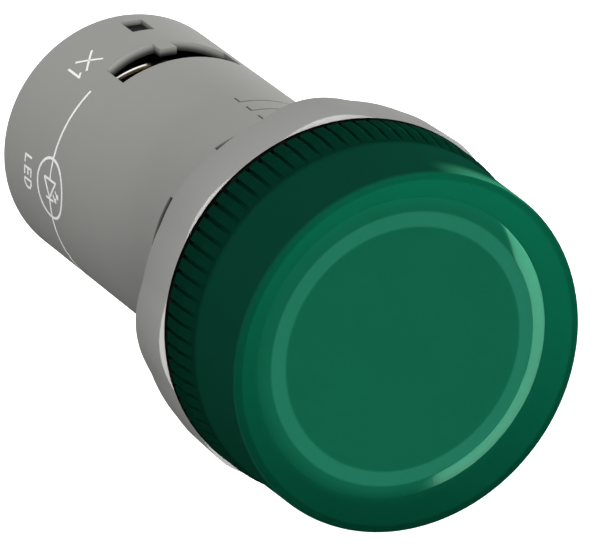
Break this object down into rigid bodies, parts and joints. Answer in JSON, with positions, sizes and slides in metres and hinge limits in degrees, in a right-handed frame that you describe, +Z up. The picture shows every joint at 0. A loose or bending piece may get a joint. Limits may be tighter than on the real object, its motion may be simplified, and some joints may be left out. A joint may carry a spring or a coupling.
{
  "type": "panel pilot light",
  "caption": "Round panel pilot light: green domed-rim lens with ribbed grip, rubber gasket, fixing nut and a tubular grey body with screw terminals at the rear.",
  "frame": {"origin": "on the light's axis, at the rear face of the gasket, where the panel's front face seats", "axes": "+Z up with the X1 terminal on top, the lens faces -Y and the barrel runs back along +Y"},
  "size_m": [0.0312, 0.0549, 0.0312],
  "materials": {
    "lens_green": "clear green, glossy",
    "body_grey": "fine matt moulded",
    "nut_grey": "fine matt moulded",
    "rubber_black": "matt",
    "diffuser_white": "milky",
    "holder_white": "satin",
    "led_clear": "clear tinted",
    "tinned_wire": "tinned",
    "board_green": "solder mask",
    "resistor_blue": "lacquered",
    "case_black": "moulded epoxy",
    "can_metal": "bright",
    "varistor_blue": "dipped lacquer",
    "inner_black": "moulded",
    "brass": "stamped",
    "plated_steel": "nickel plated"
  },
  "bodies": {
    "base": {"housing": "body_grey", "lens": "lens_green", "diffuser": "diffuser_white", "lens_seal": "rubber_black", "panel_gasket": "rubber_black", "led_holder": "holder_white", "led": "led_clear", "led_leads": "tinned_wire", "circuit_board": "board_green", "resistor_1": "resistor_blue", "resistor_2": "resistor_blue", "rectifier": "case_black", "capacitor": "can_metal", "varistor": "varistor_blue", "terminal_block": "inner_black", "lead_x1": "tinned_wire", "lead_x2": "tinned_wire", "contact_plate_x1": "brass", "contact_plate_x2": "brass", "rear_cover": "inner_black"},
    "nut": {"fixing_nut": "nut_grey"},
    "clamp_x1": {"clamp_plate_x1": "plated_steel"},
    "clamp_x2": {"clamp_plate_x2": "plated_steel"},
    "screw_x1": {"terminal_screw_x1": "plated_steel"},
    "screw_x2": {"terminal_screw_x2": "plated_steel"}
  },
  "joints": [
    {"name": "nut_slide", "type": "slide", "parent": "base", "child": "nut", "axis": [0, 1, 0], "range_m": [0, 0.0148]},
    {"name": "clamp_x1_slide", "type": "slide", "parent": "base", "child": "clamp_x1", "axis": [0, -1, 0], "range_m": [0, 0.0042]},
    {"name": "screw_x1_turn", "type": "hinge", "parent": "clamp_x1", "child": "screw_x1", "pos_m": [0, 0.036, 0.0052], "axis": [0, -1, 0], "range_deg": [0, 3030]},
    {"name": "clamp_x2_slide", "type": "slide", "parent": "base", "child": "clamp_x2", "axis": [0, -1, 0], "range_m": [0, 0.0042]},
    {"name": "screw_x2_turn", "type": "hinge", "parent": "clamp_x2", "child": "screw_x2", "pos_m": [0, 0.036, -0.0052], "axis": [0, -1, 0], "range_deg": [0, 3030]}
  ],
  "couplings": [
    {"joint": "screw_x1_turn", "follows": "clamp_x1_slide", "rad_per_m": 12566},
    {"joint": "screw_x2_turn", "follows": "clamp_x2_slide", "rad_per_m": 12566}
  ]
}
